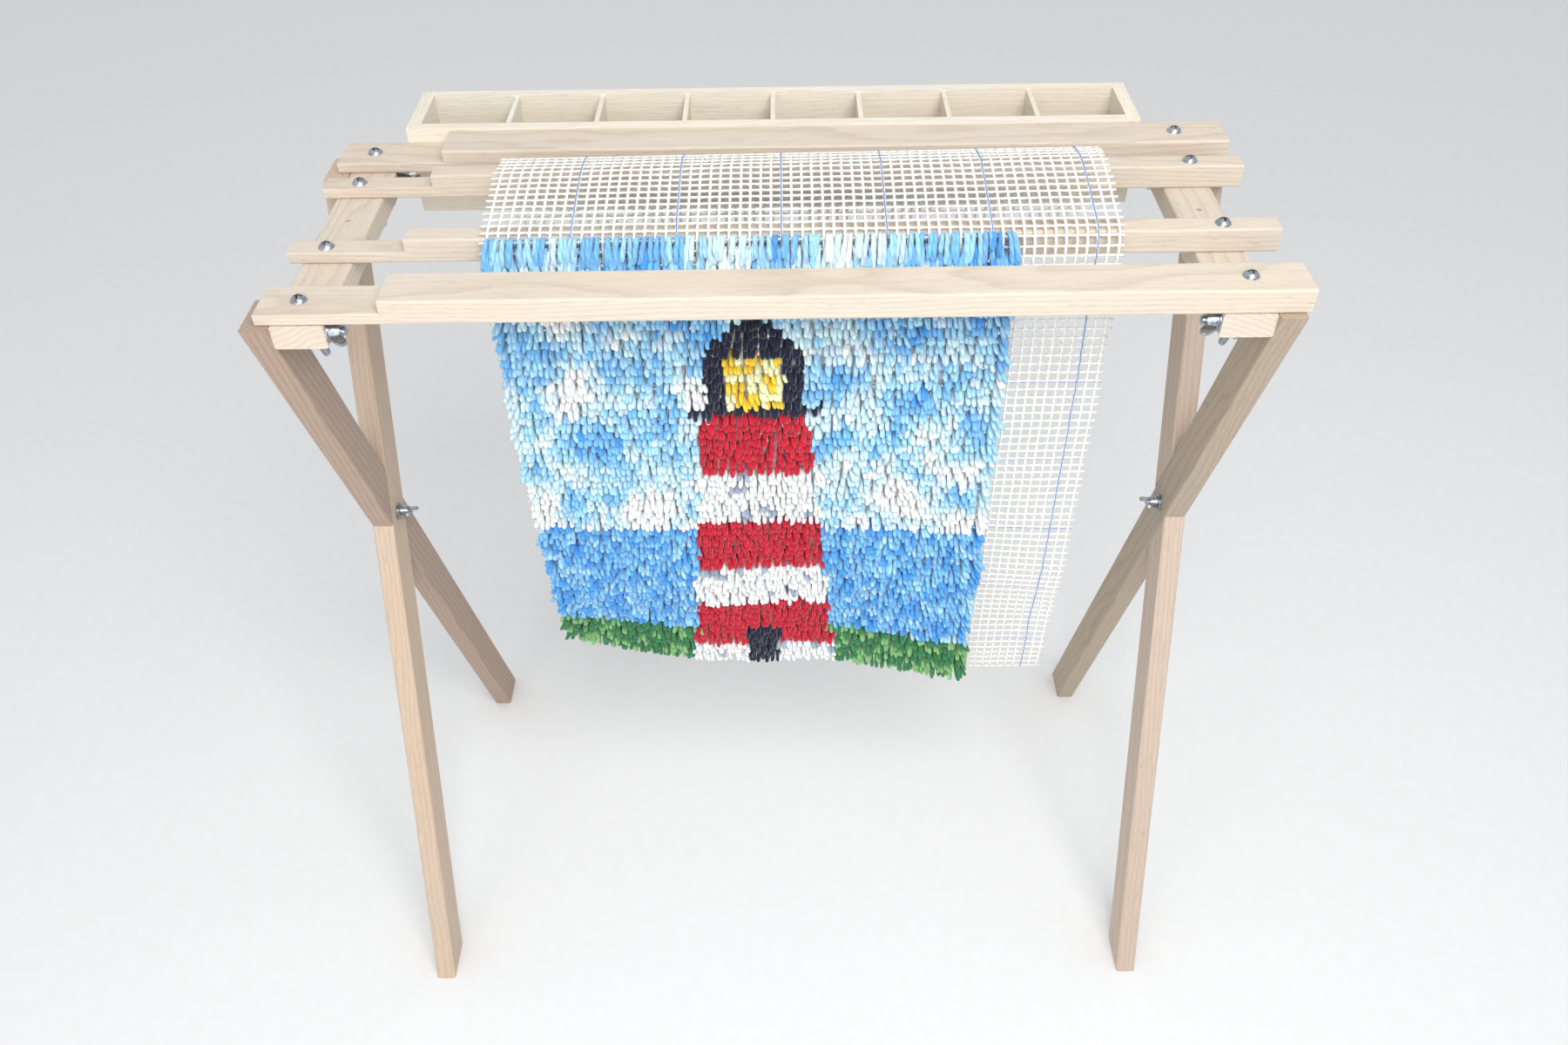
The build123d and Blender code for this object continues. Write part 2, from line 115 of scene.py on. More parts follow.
class Paint:
    """A procedural material, with short calls to add nodes and to join them."""

    def __init__(self, name, roughness=0.5):
        self.material = bpy.data.materials.new(name)
        self.material.use_nodes = True
        self.tree = self.material.node_tree
        self.shader = self.tree.nodes["Principled BSDF"]
        self.shader.inputs["Roughness"].default_value = roughness

    def add(self, kind, inputs=(), **settings):
        node = self.tree.nodes.new(kind)
        for name, value in settings.items():
            setattr(node, name, value)
        for key, value in dict(inputs).items():
            self.feed(node.inputs[key], value)
        return node

    def feed(self, socket, value):
        if isinstance(value, bpy.types.NodeSocket):
            self.tree.links.new(value, socket)
        else:
            socket.default_value = value

    def math(self, operation, *values):
        return self.add("ShaderNodeMath", enumerate(values), operation=operation).outputs[0]

    def noise(self, vector, scale, detail=2.0, roughness=0.5):
        inputs = {"Vector": vector, "Scale": scale, "Detail": detail, "Roughness": roughness}
        return self.add("ShaderNodeTexNoise", inputs).outputs["Fac"]

    def ramp(self, value, *stops):
        """A colour ramp; each stop is (position, colour or grey)."""
        node = self.add("ShaderNodeValToRGB", {"Fac": value})
        elements = node.color_ramp.elements
        while len(elements) < len(stops):
            elements.new(0.5)
        for element, (position, colour) in zip(elements, stops):
            element.position = position
            element.color = (*((colour,) * 3 if isinstance(colour, float) else colour), 1.0)
        return node.outputs["Color"]

    def mix(self, share, first, second, blend="MIX"):
        node = self.add("ShaderNodeMix", data_type="RGBA", blend_type=blend)
        self.feed(node.inputs[0], share)
        for socket, value in ((node.inputs[6], first), (node.inputs[7], second)):
            self.feed(socket, value if isinstance(value, bpy.types.NodeSocket) else (*value, 1.0))
        return node.outputs[2]

    def bump(self, height, distance, strength=1.0):
        inputs = {"Height": height, "Distance": distance, "Strength": strength}
        normal = self.add("ShaderNodeBump", inputs).outputs["Normal"]
        self.tree.links.new(normal, self.shader.inputs["Normal"])

    def place(self):
        return self.add("ShaderNodeTexCoord").outputs["Object"]

    def dot(self, vector, direction):
        inputs = {0: vector, 1: tuple(direction)}
        return self.add("ShaderNodeVectorMath", inputs, operation="DOT_PRODUCT").outputs["Value"]

    def vector(self, *parts):
        return self.add("ShaderNodeCombineXYZ", enumerate(parts)).outputs[0]


BOARD_SHIFT = (1.37, 0.71, 0.53)  # from one board's place in the grain to the next, along, aside and up
RING_SWAY = 36 * MM


def wood(name, grain, number, pale, dark, heart, ring=0.0042, ring_strength=0.42):
    """Sawn timber as a solid: growth rings round a heart line beside the board, along its grain.
    grain is the direction of the grain, heart how far off the rings' centre is, across the board."""
    paint = Paint(name)
    along = Vector(grain).normalized()
    side = along.cross(Vector((0, 0, 1))) if abs(along.z) < 0.9 else along.cross(Vector((0, 1, 0)))
    side.normalize()
    upright = along.cross(side)
    place = paint.place()
    shift = [number * step for step in BOARD_SHIFT]
    u = paint.math("ADD", paint.dot(place, along), shift[0])
    v = paint.math("ADD", paint.dot(place, side), shift[1])
    w = paint.math("ADD", paint.dot(place, upright), shift[2])

    def stretched(along_scale, across_scale):
        """A place in the board, scaled by one number along the grain and by another across it."""
        across = [paint.math("MULTIPLY", way, across_scale) for way in (v, w)]
        return paint.vector(paint.math("MULTIPLY", u, along_scale), *across)

    sway = paint.noise(stretched(2.2, 9.0), 1.0, detail=3.0, roughness=0.55)
    lean = paint.math("MULTIPLY", paint.math("SUBTRACT", sway, 0.5), RING_SWAY)
    from_heart_v = paint.math("ADD", paint.math("SUBTRACT", v, shift[1] + heart[0]), lean)
    from_heart_w = paint.math("ADD", paint.math("SUBTRACT", w, shift[2] + heart[1]), lean)
    radius = paint.math(
        "SQRT",
        paint.math("ADD", paint.math("POWER", from_heart_v, 2.0), paint.math("POWER", from_heart_w, 2.0)),
    )
    rings = paint.math("FRACT", paint.math("DIVIDE", radius, ring))
    late = paint.ramp(rings, (0.0, 0.25), (0.1, 0.0), (0.55, 0.15), (0.86, 0.8), (0.94, 1.0), (1.0, 0.35))
    fibres = paint.noise(stretched(14.0, 620.0), 1.0, detail=4.0, roughness=0.6)
    pores = paint.ramp(paint.noise(stretched(90.0, 1500.0), 1.0, detail=1.0), (0.62, 0.0), (0.75, 1.0))
    broad = paint.noise(stretched(3.0, 24.0), 1.0, detail=2.0)
    tone = paint.ramp(broad, (0.3, 0.0), (0.7, 1.0))
    warmer = tuple(np.array(pale) * np.array((1.01, 0.965, 0.90)))
    base = paint.mix(tone, pale, warmer)
    ring_share = paint.math("MULTIPLY", late, ring_strength)
    ringed = paint.mix(ring_share, base, dark)
    fibre_shade = paint.ramp(fibres, (0.25, 0.86), (0.75, 1.05))
    fibred = paint.mix(0.75, ringed, fibre_shade, blend="MULTIPLY")
    pored = paint.mix(paint.math("MULTIPLY", pores, 0.30), fibred, tuple(np.array(dark) * 0.55))
    paint.tree.links.new(pored, paint.shader.inputs["Base Color"])
    rough = paint.math("ADD", paint.math("MULTIPLY", fibres, 0.22), 0.44)
    paint.tree.links.new(rough, paint.shader.inputs["Roughness"])
    paint.shader.inputs["Specular IOR Level"].default_value = 0.35
    height = paint.math("SUBTRACT", paint.math("ADD", fibres, paint.math("MULTIPLY", late, 0.3)),
                        paint.math("MULTIPLY", pores, 0.8))
    paint.bump(height, 0.00012)
    return paint.material


def zinc(name, number):
    """Bright zinc plate: cloudy, finely scratched metal."""
    paint = Paint(name)
    place = paint.add("ShaderNodeVectorMath", {0: paint.place(), 1: (number * 0.3,) * 3},
                      operation="ADD").outputs["Vector"]
    clouds = paint.noise(place, 260.0, detail=4.0, roughness=0.6)
    scratches = paint.noise(
        paint.add("ShaderNodeMapping", {"Vector": place, "Scale": (5.0, 5.0, 60.0)}).outputs[0],
        90.0, detail=3.0)
    colour = paint.ramp(clouds, (0.3, srgb(132, 138, 148)), (0.55, srgb(176, 180, 186)),
                        (0.75, srgb(206, 205, 200)))
    paint.tree.links.new(colour, paint.shader.inputs["Base Color"])
    rough = paint.math("ADD", paint.math("MULTIPLY", clouds, 0.25), 0.17)
    paint.tree.links.new(rough, paint.shader.inputs["Roughness"])
    paint.shader.inputs["Metallic"].default_value = 1.0
    paint.bump(paint.math("ADD", scratches, clouds), 0.00005)
    return paint.material


def spun(name, colour, plies, pitch, fuzz, sheen, roughness, groove_shade_depth):
    """Yarn or thread spun of several plies. Its pieces carry two attributes: thread is the cosine and
    sine of the angle round the strand and the way along it, and tone is the strand's own colour.
    colour is None where tone is the whole colour, and otherwise tone only shades it."""
    paint = Paint(name, roughness)
    thread = paint.add("ShaderNodeAttribute", attribute_name="thread").outputs["Vector"]
    parts = paint.add("ShaderNodeSeparateXYZ", {0: thread}).outputs
    angle = paint.math("ARCTAN2", parts[1], parts[0])
    turns = paint.math("MULTIPLY", parts[2], math.tau / pitch)
    wave = paint.math("SINE", paint.math("ADD", paint.math("MULTIPLY", angle, float(plies)), turns))
    ply = paint.math("MULTIPLY_ADD", wave, 0.5, 0.5)
    place = paint.place()
    hairs = paint.noise(place, 1900.0, detail=3.0, roughness=0.65)
    patches = paint.noise(place, 240.0, detail=2.0)
    tone = paint.add("ShaderNodeAttribute", attribute_name="tone").outputs["Color"]
    base = tone if colour is None else paint.mix(1.0, tone, colour, blend="MULTIPLY")
    # Painted shade: the colour is darkened in the grooves between the plies, where shade falls between them.
    groove_shaded = paint.mix(1.0, base, paint.ramp(ply, (0.0, 1.0 - groove_shade_depth), (0.45, 1.0)), blend="MULTIPLY")
    haired = paint.mix(fuzz, groove_shaded, paint.ramp(hairs, (0.3, 0.72), (0.7, 1.12)), blend="MULTIPLY")
    patched = paint.mix(1.0, haired, paint.ramp(patches, (0.3, 0.93), (0.7, 1.05)), blend="MULTIPLY")
    paint.tree.links.new(patched, paint.shader.inputs["Base Color"])
    paint.shader.inputs["Sheen Weight"].default_value = sheen
    paint.shader.inputs["Sheen Roughness"].default_value = 0.5
    paint.shader.inputs["Specular IOR Level"].default_value = 0.25
    paint.bump(paint.math("ADD", ply, paint.math("MULTIPLY", hairs, 0.5)), 0.0003)
    return paint.material


def paint_node(node, material):
    mesh_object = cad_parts[node]
    mesh_object.data.materials.clear()
    mesh_object.data.materials.append(material)


PALE_WOOD = srgb(213, 202, 188)
DARK_WOOD = srgb(186, 168, 149)
# Each leg's pale and dark wood colour. The legs are darker than the rails and darkest on the rear-foot legs:
# partly the wood's own colour, and partly painted shade for the dimmer light that reaches the legs, most of
# all their ends at the back.
LEG_WOOD_AND_SHADE = {
    "left_leg_rear_foot": (srgb(174, 154, 140), srgb(122, 98, 88)),
    "left_leg_front_foot": (srgb(201, 181, 162), srgb(166, 141, 121)),
    "right_leg_rear_foot": (srgb(178, 164, 146), srgb(136, 118, 98)),
    "right_leg_front_foot": (srgb(198, 180, 166), srgb(164, 141, 126)),
}
TRAY_PALE = srgb(232, 226, 214)
TRAY_DARK = srgb(206, 193, 173)

CROSS_RAILS = ("front_rail", "work_rail", "canvas_rail", "back_rail")
SIDE_RAILS = ("left_side_rail", "right_side_rail")
for number, node in enumerate(CROSS_RAILS):
    heart = (0.020 + 0.022 * number, 0.052 + 0.019 * number)
    cross_wood = wood(f"wood_{node}", (1, 0, 0), number, PALE_WOOD, DARK_WOOD, heart)
    paint_node(node, cross_wood)
for number, node in enumerate(SIDE_RAILS, 5):
    side_wood = wood(f"wood_{node}", (0, 1, 0), number, PALE_WOOD, DARK_WOOD, (0.04, 0.07))
    paint_node(node, side_wood)
for number, (node, (pale, dark)) in enumerate(LEG_WOOD_AND_SHADE.items()):
    low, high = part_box(node)
    lean = 1 if "rear" in node else -1
    grain = (0.0, -lean * (high.y - low.y), high.z - low.z)
    heart = (0.03 + 0.01 * number, 0.05 + 0.01 * lean)
    leg_wood = wood(f"wood_{node}", grain, 8 + number, pale, dark, heart, ring_strength=0.32)
    paint_node(node, leg_wood)
TRAY_LONG = ("tray_front_board", "tray_back_board", "tray_floor")
TRAY_SHORT = ("tray_left_end", "tray_right_end", *(f"tray_divider_{n}" for n in range(1, 8)))
for number, node in enumerate(TRAY_LONG + TRAY_SHORT, 13):
    grain = (1, 0, 0) if node in TRAY_LONG else (0, 1, 0)
    heart = (0.05 + 0.007 * (number % 5), 0.09)
    tray_wood = wood(f"wood_{node}", grain, number, TRAY_PALE, TRAY_DARK, heart, 0.0035, 0.25)
    paint_node(node, tray_wood)
METAL = sorted(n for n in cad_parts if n.endswith(("wing_nut", "screws", "washers", "brads")))
metals = [zinc(f"zinc_{n}", n) for n in range(4)]
for number, node in enumerate(METAL):
    paint_node(node, metals[number % len(metals)])


# ---------------------------------------------------------------- the canvas's surface

def middle_line(node):
    """The middle line of a bent CAD sheet in the YZ plane, as points from one hem to the other."""
    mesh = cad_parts[node].data
    places = np.array([v.co for v in mesh.vertices])
    at_end = places[:, 0] < places[:, 0].min() + 1e-5
    keys = {}
    for index in np.flatnonzero(at_end):
        keys[int(index)] = tuple(np.round(places[index, 1:], 6))
    uses = {}
    for face in mesh.polygons:
        if all(v in keys for v in face.vertices):
            corners = [keys[v] for v in face.vertices]
            for a, b in zip(corners, corners[1:] + corners[:1]):
                uses.setdefault(frozenset((a, b)), []).append((a, b))
    after = dict(pair[0] for pair in uses.values() if len(pair) == 1)
    start = min(after)
    outline = [start]
    while after[outline[-1]] != start:
        outline.append(after[outline[-1]])
    outline = np.array(outline)
    ways = np.roll(outline, -1, 0) - outline
    ways /= np.linalg.norm(ways, axis=1)[:, None]
    turning = (ways * np.roll(ways, 1, 0)).sum(1)
    corners = np.flatnonzero(turning < 0.5)
    chains = []
    for first, last in zip(corners, np.roll(corners, -1)):
        if last < first:
            last += len(outline)
        chains.append(outline[np.arange(first, last + 1) % len(outline)])
    chains.sort(key=lambda chain: np.linalg.norm(np.diff(chain, axis=0), axis=1).sum())
    one, other = chains[-1], chains[-2][::-1]
    return (evenly(one, OUTLINE_POINTS) + evenly(other, OUTLINE_POINTS)) / 2


def evenly(line, count):
    """The line again, as that many evenly spaced points."""
    along = np.concatenate([[0.0], np.cumsum(np.linalg.norm(np.diff(line, axis=0), axis=1))])
    wanted = np.linspace(0.0, along[-1], count)
    return np.stack([np.interp(wanted, along, line[:, k]) for k in range(line.shape[1])], axis=1)


class Surface:
    """The canvas as it hangs: point() gives a place from x, the way s from the back hem, and the height
    n off the canvas to the front."""

    def __init__(self, node):
        low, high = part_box(node)
        self.left, self.right = low.x, high.x
        line = middle_line(node)
        if line[0, 0] < line[-1, 0]:
            line = line[::-1]
        self.length = float(np.linalg.norm(np.diff(line, axis=0), axis=1).sum())
        count = int(self.length / SURFACE_STEP)
        line = evenly(line, count)
        padded = np.pad(line, ((SURFACE_SMOOTHING // 2,) * 2, (0, 0)), mode="reflect", reflect_type="odd")
        kernel = np.ones(SURFACE_SMOOTHING) / SURFACE_SMOOTHING
        line = np.stack([np.convolve(padded[:, k], kernel, mode="valid") for k in (0, 1)], axis=1)
        self.length = float(np.linalg.norm(np.diff(line, axis=0), axis=1).sum())
        step = self.length / (count - 1)
        spare = int(RUN_ON / step)
        before = line[0] + (line[0] - line[1]) * np.arange(spare, 0, -1)[:, None]
        beyond = line[-1] + (line[-1] - line[-2]) * np.arange(1, spare + 1)[:, None]
        self.line = np.concatenate([before, line, beyond])
        self.along = (np.arange(len(self.line)) - spare) * step
        self.way = np.gradient(self.line, step, axis=0)
        self.way /= np.linalg.norm(self.way, axis=1)[:, None]
        self.top = self.along[int(np.argmax(self.line[:, 1]))]

    def read(self, table, s):
        return np.stack([np.interp(s, self.along, table[:, k]) for k in (0, 1)], axis=-1)

    def point(self, x, s, n):
        x, s, n = np.broadcast_arrays(x, s, n)
        base, way = self.read(self.line, s), self.read(self.way, s)
        y = base[..., 0] + n * way[..., 1]
        z = base[..., 1] - n * way[..., 0]
        across = (x - self.left) / (self.right - self.left)
        arch = np.exp(-(((s - self.top) / ARCH_REACH) ** 2))
        z = z + arch * ARCH_TILT * (across - ARCH_LEVEL_SHARE)
        hang = smoothstep(0.25, 0.60, s)
        y = y + hang * WAVE_DEEP * np.sin(across * 7.1 + s * 5.0)
        y = y + hang * RIPPLE_DEEP * np.sin(across * 17.0 - s * 23.0)
        low_part = smoothstep(self.length - CURL_TALL, self.length + 20 * MM, s)
        curl = smoothstep(CURL_SHARE, 0.0, across) * low_part
        y = y + curl * CURL_BACK
        z = z + curl * CURL_UP
        slant = smoothstep(0.30, 0.66, s) * (smoothstep(0.45, 0.85, across) - 0.5) * SLANT
        return np.stack([x, y - slant, z - slant], axis=-1)


canvas = Surface("rug_canvas")
columns = round((canvas.right - canvas.left) / CELL)
rows = int(canvas.length / CELL)
first_row = (canvas.length - (rows - 1) * CELL) / 2


# ---------------------------------------------------------------- tubes

def tubes(centres, half_across, half_through, sides, hint, tones):
    """Closed tubes as (points, quads, caps, thread, tones). centres is tubes x rings x 3; the half widths
    broadcast to tubes x rings; hint is a direction that each section's first axis lies near."""
    count, rings = centres.shape[:2]
    way = np.gradient(centres, axis=1)
    way /= np.linalg.norm(way, axis=2, keepdims=True)
    through = np.cross(way, np.broadcast_to(np.asarray(hint, float), centres.shape))
    through /= np.linalg.norm(through, axis=2, keepdims=True)
    across = np.cross(through, way)
    half_across = np.broadcast_to(half_across, (count, rings))[..., None, None]
    half_through = np.broadcast_to(half_through, (count, rings))[..., None, None]
    turn = np.arange(sides) * math.tau / sides
    cosines, sines = np.cos(turn)[:, None], np.sin(turn)[:, None]
    points = (centres[:, :, None] + across[:, :, None] * cosines * half_across
              + through[:, :, None] * sines * half_through)
    steps = np.linalg.norm(np.diff(centres, axis=1), axis=2)
    along = np.concatenate([np.zeros((count, 1)), np.cumsum(steps, axis=1)], axis=1)
    thread = np.stack(np.broadcast_arrays(np.cos(turn), np.sin(turn), along[:, :, None]), axis=-1)
    index = np.arange(count * rings * sides).reshape(count, rings, sides)
    beside = np.roll(index, -1, axis=2)
    quads = np.stack([index[:, :-1], index[:, 1:], beside[:, 1:], beside[:, :-1]], axis=-1).reshape(-1, 4)
    caps = np.concatenate([index[:, 0], index[:, -1, ::-1]])
    colours = np.repeat(np.broadcast_to(tones, (count, 3)), rings * sides, axis=0)
    return points.reshape(-1, 3), quads, caps, thread.reshape(-1, 3), colours


def piece(name, material, slot, stands_for, *parts):
    """One mesh object of tubes, riding on the stand in place of a CAD node."""
    starts = np.cumsum([0] + [len(part[0]) for part in parts])
    faces = [group + start for part, start in zip(parts, starts) for group in part[1:3]]
    corners = np.concatenate([group.ravel() for group in faces]).astype(np.int32)
    sizes = np.concatenate([np.full(len(group), group.shape[1]) for group in faces])
    mesh = bpy.data.meshes.new(name)
    mesh.vertices.add(int(starts[-1]))
    mesh.vertices.foreach_set("co", np.concatenate([part[0] for part in parts]).astype(np.float32).ravel())
    mesh.loops.add(len(corners))
    mesh.loops.foreach_set("vertex_index", corners)
    mesh.polygons.add(len(sizes))
    mesh.polygons.foreach_set("loop_start", (np.cumsum(sizes) - sizes).astype(np.int32))
    mesh.update(calc_edges=True)
    mesh.polygons.foreach_set("use_smooth", np.ones(len(sizes), bool))
    thread = np.concatenate([part[3] for part in parts]).astype(np.float32)
    mesh.attributes.new("thread", "FLOAT_VECTOR", "POINT").data.foreach_set("vector", thread.ravel())
    tones = np.concatenate([part[4] for part in parts])
    tones = np.concatenate([tones, np.ones((len(tones), 1))], axis=1).astype(np.float32)
    mesh.attributes.new("tone", "FLOAT_COLOR", "POINT").data.foreach_set("color", tones.ravel())
    mesh.materials.append(material)
    made = bpy.data.objects.new(name, mesh)
    bpy.context.scene.collection.objects.link(made)
    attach(made, STAND)
    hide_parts(stands_for)
    return made


# ---------------------------------------------------------------- the canvas's threads

chance = np.random.default_rng(SEED)
canvas_thread = spun("canvas_thread", srgb(246, 244, 238), 2, 7.0 * MM, 0.35, 0.15, 0.72, 0.14)
guide_thread = spun("guide_thread", srgb(120, 158, 232), 2, 2.6 * MM, 0.4, 0.1, 0.7, 0.2)


def shades(count, depth):
    """A slightly different strength of the same colour for each strand."""
    return (1.0 - chance.uniform(0.0, depth, (count, 1))) * np.ones(3)


warp_x = canvas.left + CELL * np.arange(1, columns) + chance.normal(0, WARP_WANDER, columns - 1)
tail = CELL * 0.45
warp_s = np.arange(first_row - tail, first_row + (rows - 1) * CELL + tail, CELL / 2)
crossing = 0.5 + 0.5 * np.cos((warp_s - first_row) / CELL * math.tau)
warp_half = THREAD_HALF_NARROW + (THREAD_HALF_WIDE - THREAD_HALF_NARROW) * crossing
warps = tubes(canvas.point(warp_x[:, None], warp_s, 0.0), warp_half, THREAD_HALF_THICK, THREAD_SIDES,
              (1, 0, 0), shades(len(warp_x), 0.06))

weft_s = first_row + CELL * np.arange(rows)
weft_left = canvas.left + chance.uniform(0.02, 0.28, (rows, 1)) * CELL
weft_right = canvas.right - chance.uniform(0.25, 0.55, (rows, 1)) * CELL
weft_x = weft_left + (weft_right - weft_left) * np.linspace(0.0, 1.0, columns + 1)
wander = chance.normal(0, WEFT_WANDER, (rows, 1)) + chance.normal(0, WEFT_WOBBLE, weft_x.shape)
wefts = tubes(canvas.point(weft_x, weft_s[:, None] + wander, 0.0), WEFT_HALF_THICK, WEFT_HALF_WIDE,
              THREAD_SIDES, (0, -1, 0.3), shades(rows, 0.06))
mesh_piece = piece("rug_canvas_mesh", canvas_thread, "canvas", "rug_canvas", warps, wefts)

guide_lift = THREAD_HALF_THICK + GUIDE_HALF_WIDE * 0.3
guide_columns = np.arange(FIRST_GUIDE_COLUMN, columns - 1, GUIDE_COLUMN_STEP)
guide_rows = np.arange(FIRST_GUIDE_ROW, rows, GUIDE_ROW_STEP)
down_wander = chance.normal(0, GUIDE_WANDER, (len(guide_columns), len(warp_s)))
down_x = warp_x[guide_columns - 1][:, None] + down_wander
down_guides = tubes(canvas.point(down_x, warp_s, guide_lift), GUIDE_HALF_WIDE, GUIDE_HALF_WIDE, THREAD_SIDES,
                    (1, 0, 0), shades(len(guide_columns), 0.1))
over_wander = chance.normal(0, GUIDE_WANDER, (len(guide_rows), columns + 1))
over_s = weft_s[guide_rows][:, None] + WEFT_HALF_WIDE * 0.8 + over_wander
over_guides = tubes(canvas.point(weft_x[guide_rows], over_s, guide_lift * 0.35), GUIDE_HALF_WIDE,
                    GUIDE_HALF_WIDE, THREAD_SIDES, (0, -1, 0.3), shades(len(guide_rows), 0.1))
guides_piece = piece("rug_canvas_guides", guide_thread, "canvas", "rug_canvas", down_guides, over_guides)


# ---------------------------------------------------------------- the picture in the pile

YARNS = {
    "deep_blue": srgb(78, 162, 235),
    "blue": srgb(124, 192, 244),
    "light_blue": srgb(166, 217, 249),
    "pale_blue": srgb(210, 237, 251),
    "white": srgb(249, 251, 252),
    "navy": srgb(24, 30, 56),
    "grey": srgb(158, 172, 192),
    "red": srgb(202, 14, 48),
    "yellow": srgb(247, 205, 48),
    "cream": srgb(246, 244, 190),
    "green": srgb(48, 128, 74),
    "light_green": srgb(128, 186, 116),
}
NAMES = list(YARNS)


def soft_noise(shape, blurs):
    """Random heights over the knots, smoothed, with a spread of 1."""
    field = chance.normal(size=shape)
    for _ in range(blurs):
        field = sum(np.roll(field, shift, axis) for shift in (-1, 0, 1) for axis in (0, 1))
    return (field - field.mean()) / field.std()


ROOF_ROW = 7
LAMP_ROW = 12
DECK_ROW = 18
TOWER_TOP_ROW = 19
HORIZON_ROW = 36
GRASS_ROW = 56
LAMP_HALF = 4  # columns
BAND_ROWS = 8
TOWER_HALF = 5.5  # columns, at its top
TOWER_SPREAD = 0.08  # columns wider on each side for each row down


def picture(shape):
    """Which yarn each knot of the pile has: a stock motif of a plain lighthouse in level bands, in the
    middle of the rug, between sky, sea and grass."""
    row, column = np.indices(shape).astype(float)
    cloud = (0.36 + 0.26 * row / HORIZON_ROW + 0.13 * soft_noise(shape, 6)
             + 0.065 * soft_noise(shape, 0))
    yarn = np.digitize(cloud, (0.21, 0.36, 0.50, 0.66))

    def lay(where, name):
        yarn[where] = NAMES.index(name)

    speck = chance.random(shape)
    sea = row >= HORIZON_ROW
    lay(sea, "blue")
    lay(sea & (speck < 0.35), "deep_blue")
    lay(sea & (speck > 0.85), "light_blue")
    grass = row >= GRASS_ROW
    lay(grass, "green")
    lay(grass & (speck < 0.38), "light_green")

    aside = np.abs(column - (shape[1] - 1) / 2)
    down_tower = row - TOWER_TOP_ROW
    tower = (down_tower >= 0) & (aside < TOWER_HALF + TOWER_SPREAD * down_tower)
    lay(tower, "white")
    lay(tower & (speck < 0.10), "grey")
    lay(tower & (down_tower // BAND_ROWS % 2 == 0), "red")
    lay((aside < 2) & (row >= GRASS_ROW), "navy")

    lamp_rows = (row >= LAMP_ROW) & (row < DECK_ROW)
    lamp_room = (aside < LAMP_HALF) & lamp_rows
    lay(lamp_room, "yellow")
    lay(lamp_room & (speck < 0.6), "cream")
    roof = (row >= ROOF_ROW) & (row < LAMP_ROW) & (aside < row - ROOF_ROW + 1)
    deck = (aside < LAMP_HALF + 3) & (row == DECK_ROW)
    corners = (np.abs(aside - LAMP_HALF) < 1) & lamp_rows
    lay(roof | deck | corners, "navy")
    return yarn


# ---------------------------------------------------------------- the pile

YARN_HEIGHT = 13.0 * MM
# Each end's way out of its knot, in millimetres: height off the canvas, way down it, and half width.
# Ends stand out from the hanging canvas. In the first few rows they lie forward, down over the rail.
STANDING_END = np.array((
    (0.2, 1.9, 1.0), (-1.9, 1.3, 1.2), (-2.2, -0.4, 1.25), (-0.9, -2.1, 1.2), (1.6, -2.3, 1.35),
    (4.6, -1.3, 1.65), (7.4, 0.3, 1.95), (9.6, 2.4, 2.15), (11.3, 4.7, 2.2), (12.2, 6.1, 1.85),
    (12.6, 6.9, 0.9),
)) * MM
LYING_END = np.array((
    (0.2, 1.9, 1.0), (-1.9, 1.3, 1.2), (-2.2, -0.4, 1.25), (-0.9, -2.1, 1.2), (1.6, -2.3, 1.35),
    (4.0, -0.2, 1.6), (5.6, 3.6, 1.75), (6.6, 8.0, 1.8), (7.2, 12.6, 1.8), (7.3, 14.8, 1.6),
    (7.3, 15.8, 0.9),
)) * MM
LYING_ROWS = 3.0

pile_low, pile_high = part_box("rug_pile")
past_top = canvas.along > canvas.top
under_pile_top = canvas.point(0.0, canvas.along, YARN_HEIGHT)[:, 2] < pile_high.z
pile_start = canvas.along[past_top & under_pile_top][0]
knot_rows = weft_s[weft_s > pile_start]
knot_columns = pile_low.x + CELL * (np.arange(round((pile_high.x - pile_low.x) / CELL)) + 0.5)
shape = (len(knot_rows), len(knot_columns))
yarn_of = picture(shape)

clump = soft_noise(shape, 1)
droop = 1.0 + CLUMP_DROOP * soft_noise(shape, 1)
from_left = np.arange(shape[1])
splay = (np.exp(-(shape[1] - 1 - from_left) / SPLAY_COLUMNS) * RIGHT_EDGE_SPLAY
         - np.exp(-from_left / SPLAY_COLUMNS) * LEFT_EDGE_SPLAY)
ends = shape + (2,)
side = np.array((-1.0, 1.0))
forward = np.exp(-((np.arange(shape[0]) / LYING_ROWS) ** 2))[:, None]
lean = (clump * CLUMP_LEAN + splay - forward * (LYING_LEAN + LYING_CLUMP * clump))[..., None]
lean = lean + side * ENDS_APART + chance.normal(0, END_LEAN, ends) * (1.0 + forward[..., None])
fall = droop[..., None] + chance.normal(0, END_DROOP, ends)
rise = 1.0 + chance.normal(0, END_RISE, ends)
out = np.linspace(-0.4, 1.0, len(STANDING_END)).clip(0.0)
way_out = STANDING_END + (LYING_END - STANDING_END) * forward[..., None, None, None]
path_x = knot_columns[:, None, None] + side[:, None] * KNOT_HALF_GAP + lean[..., None] * out
path_s = knot_rows[:, None, None, None] + way_out[..., 1] * (1.0 + (fall[..., None] - 1.0) * out)
path_n = way_out[..., 0] * (1.0 + (rise[..., None] - 1.0) * out)
centres = canvas.point(path_x, path_s, path_n)

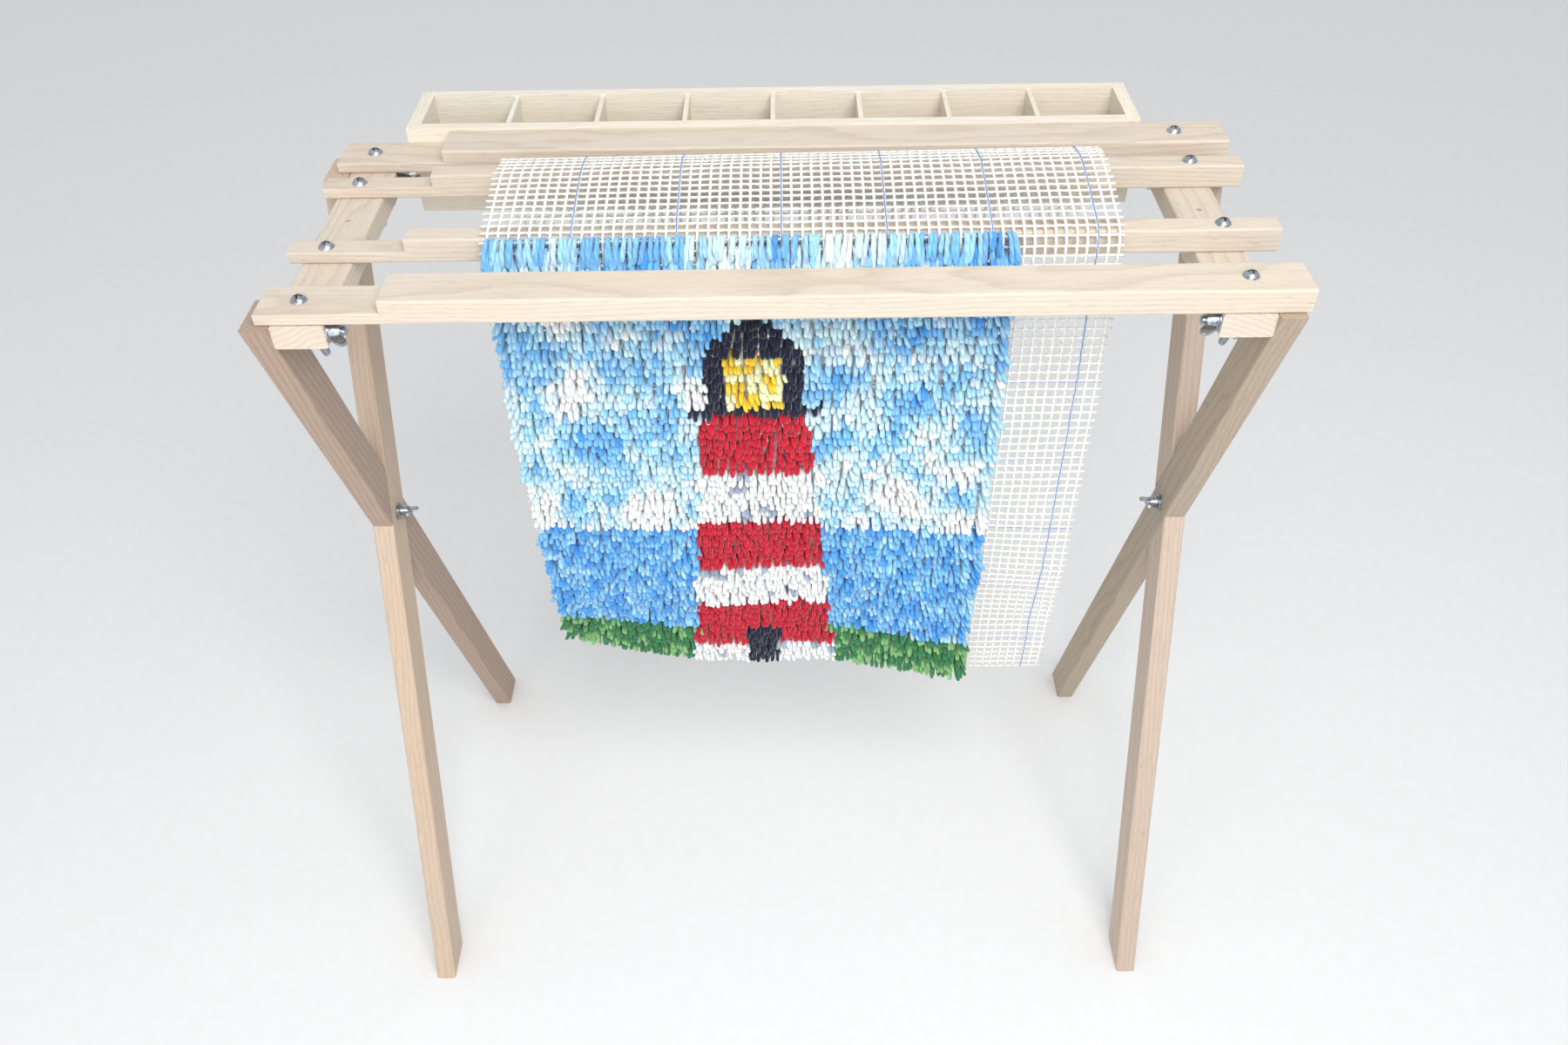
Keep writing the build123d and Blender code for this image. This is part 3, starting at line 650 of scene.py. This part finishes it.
rug_yarn = spun("rug_yarn", None, 3, 9.0 * MM, 0.75, 0.35, 0.85, 0.22)
MOST_ENDS = 1700
for number, name in enumerate(NAMES):
    strands = centres[yarn_of == number].reshape(-1, len(STANDING_END), 3)
    for part, chosen in enumerate(np.array_split(strands, 1 + len(strands) // MOST_ENDS), 1):
        strength = 1.0 + chance.normal(0, 0.06, (len(chosen), 1))
        strength = strength + chance.normal(0, 0.025, (len(chosen), 3))
        tones = np.clip(np.array(YARNS[name]) * strength, 0.0, 0.96)
        half = STANDING_END[:, 2] * chance.uniform(0.92, 1.08, (len(chosen), 1))
        yarn = tubes(chosen, half, half, YARN_SIDES, (1, 0, 0), tones)
        piece(f"pile_{name}_{part}", rug_yarn, "pile", "rug_pile", yarn)


# ---------------------------------------------------------------- floor, light and camera

def floor_paint():
    paint = Paint("floor_paint", 0.7)
    speckle = paint.noise(paint.place(), 60.0, detail=3.0)
    colour = paint.ramp(speckle, (0.3, srgb(229, 229, 228)), (0.7, srgb(231, 231, 231)))
    paint.tree.links.new(colour, paint.shader.inputs["Base Color"])
    return paint.material


floor_mesh = bpy.data.meshes.new("floor")
FLOOR_HALF = 12.0
floor_corners = [(sx * FLOOR_HALF, sy * FLOOR_HALF, 0.0) for sx, sy in ((-1, -1), (1, -1), (1, 1), (-1, 1))]
floor_mesh.from_pydata(floor_corners, [], [(0, 1, 2, 3)])
floor = bpy.data.objects.new("floor", floor_mesh)
bpy.context.scene.collection.objects.link(floor)
floor_mesh.materials.append(floor_paint())

world = bpy.data.worlds.new("studio")
bpy.context.scene.world = world
world.use_nodes = True
world.node_tree.nodes["Background"].inputs["Color"].default_value = (0.96, 0.98, 1.0, 1.0)
world.node_tree.nodes["Background"].inputs["Strength"].default_value = 0.78


def soft_light(name, place, target, size, power):
    lamp = bpy.data.lights.new(name, "AREA")
    lamp.size = size
    lamp.energy = power
    lamp_object = bpy.data.objects.new(name, lamp)
    lamp_object.location = place
    lamp_object.rotation_euler = (Vector(target) - Vector(place)).to_track_quat("-Z", "Y").to_euler()
    bpy.context.scene.collection.objects.link(lamp_object)


soft_light("key_light", (0.35, -1.05, 1.9), target=(0.0, -0.05, 0.65), size=0.9, power=21.0)
soft_light("fill_light", (-0.5, -1.7, 0.95), target=(0.0, 0.0, 0.55), size=1.4, power=10.5)

CAMERA_PLACE = (0.010, -0.8538, 1.2431)
CAMERA_DOWN, CAMERA_TURN, CAMERA_ROLL = 0.743, -0.006, -0.016
CAMERA_LENS = 28.45
camera = bpy.data.cameras.new("camera")
camera.lens = CAMERA_LENS
camera.sensor_width = 36.0
camera_object = bpy.data.objects.new("camera", camera)
bpy.context.scene.collection.objects.link(camera_object)
camera_object.matrix_world = (
    Matrix.Translation(CAMERA_PLACE) @ Matrix.Rotation(-CAMERA_TURN, 4, "Z")
    @ Matrix.Rotation(math.pi / 2 - CAMERA_DOWN, 4, "X") @ Matrix.Rotation(CAMERA_ROLL, 4, "Z")
)
bpy.context.scene.camera = camera_object
bpy.context.scene.view_settings.view_transform = "Standard"
